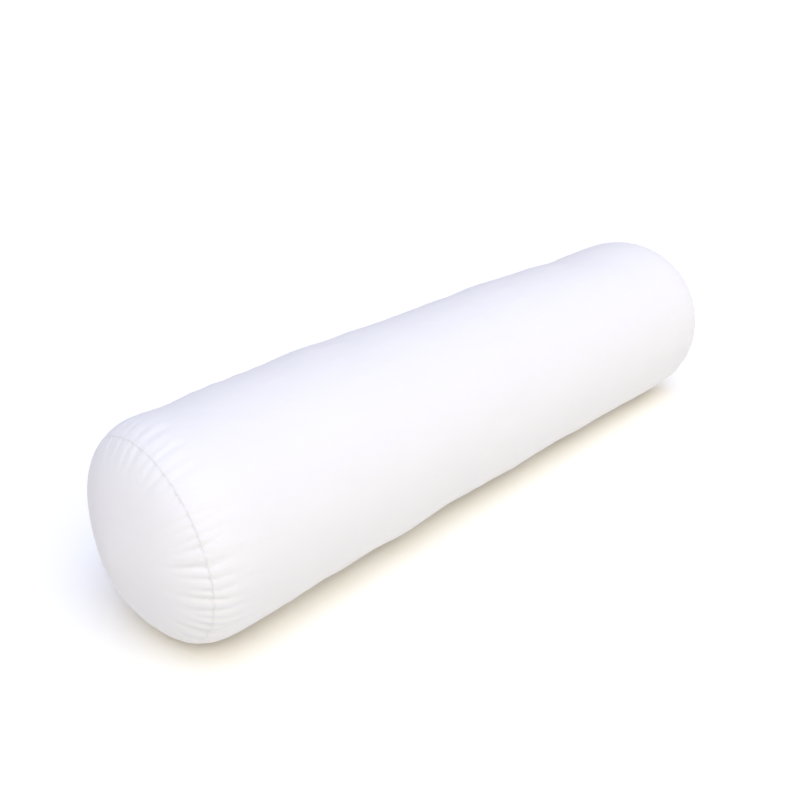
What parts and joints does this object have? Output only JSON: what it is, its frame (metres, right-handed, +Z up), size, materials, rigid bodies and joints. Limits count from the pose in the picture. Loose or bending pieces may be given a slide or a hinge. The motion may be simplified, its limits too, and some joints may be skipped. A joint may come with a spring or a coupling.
{
  "type": "foam roller",
  "caption": "Soft round bolster roller: a foam core in wadding and a liner, inside a white cloth cover with domed ends and a zip along its back.",
  "frame": {"origin": "middle of the flat underside that the roller lies on, which is the bottom centre of its bounding box", "axes": "+X along the roller, +Z up, +Y out of the back, where the zip is"},
  "size_m": [0.8, 0.2023, 0.1925],
  "materials": {
    "cover_cloth": "matte",
    "sewing_thread": "satin",
    "zip_tape": "matte",
    "zip_coil": "satin",
    "white_enamel": "gloss",
    "liner_cloth": "matte",
    "wadding": "matte",
    "foam": "matte"
  },
  "bodies": {
    "bolster": {"cover_barrel": "cover_cloth", "cover_end_left": "cover_cloth", "cover_end_right": "cover_cloth", "end_seam_thread_left": "sewing_thread", "end_seam_thread_right": "sewing_thread", "back_seam_thread_left": "sewing_thread", "back_seam_thread_right": "sewing_thread", "zip_tape_upper": "zip_tape", "zip_tape_lower": "zip_tape", "zip_coil_upper": "zip_coil", "zip_coil_lower": "zip_coil", "zip_top_stop_upper": "white_enamel", "zip_top_stop_lower": "white_enamel", "zip_bottom_stop": "white_enamel", "zip_topstitch": "sewing_thread", "liner_barrel": "liner_cloth", "liner_end_left": "liner_cloth", "liner_end_right": "liner_cloth", "liner_seam_thread_left": "sewing_thread", "liner_seam_thread_right": "sewing_thread", "liner_closing_thread": "sewing_thread", "wadding_inner_wrap": "wadding", "wadding_outer_wrap": "wadding", "end_wadding_disc_left": "wadding", "end_wadding_disc_right": "wadding", "end_wadding_crown_left": "wadding", "end_wadding_crown_right": "wadding", "foam_core": "foam"},
    "slider": {"zip_slider": "white_enamel"},
    "pull": {"zip_pull": "white_enamel"}
  },
  "joints": [
    {"name": "zip_travel", "type": "slide", "parent": "bolster", "child": "slider", "axis": [1, 0, 0], "range_m": [0, 0.58]},
    {"name": "pull_swing", "type": "hinge", "parent": "slider", "child": "pull", "pos_m": [-0.29, 0.1003, 0.0925], "axis": [0, 0, 1], "range_deg": [0, 180]}
  ]
}
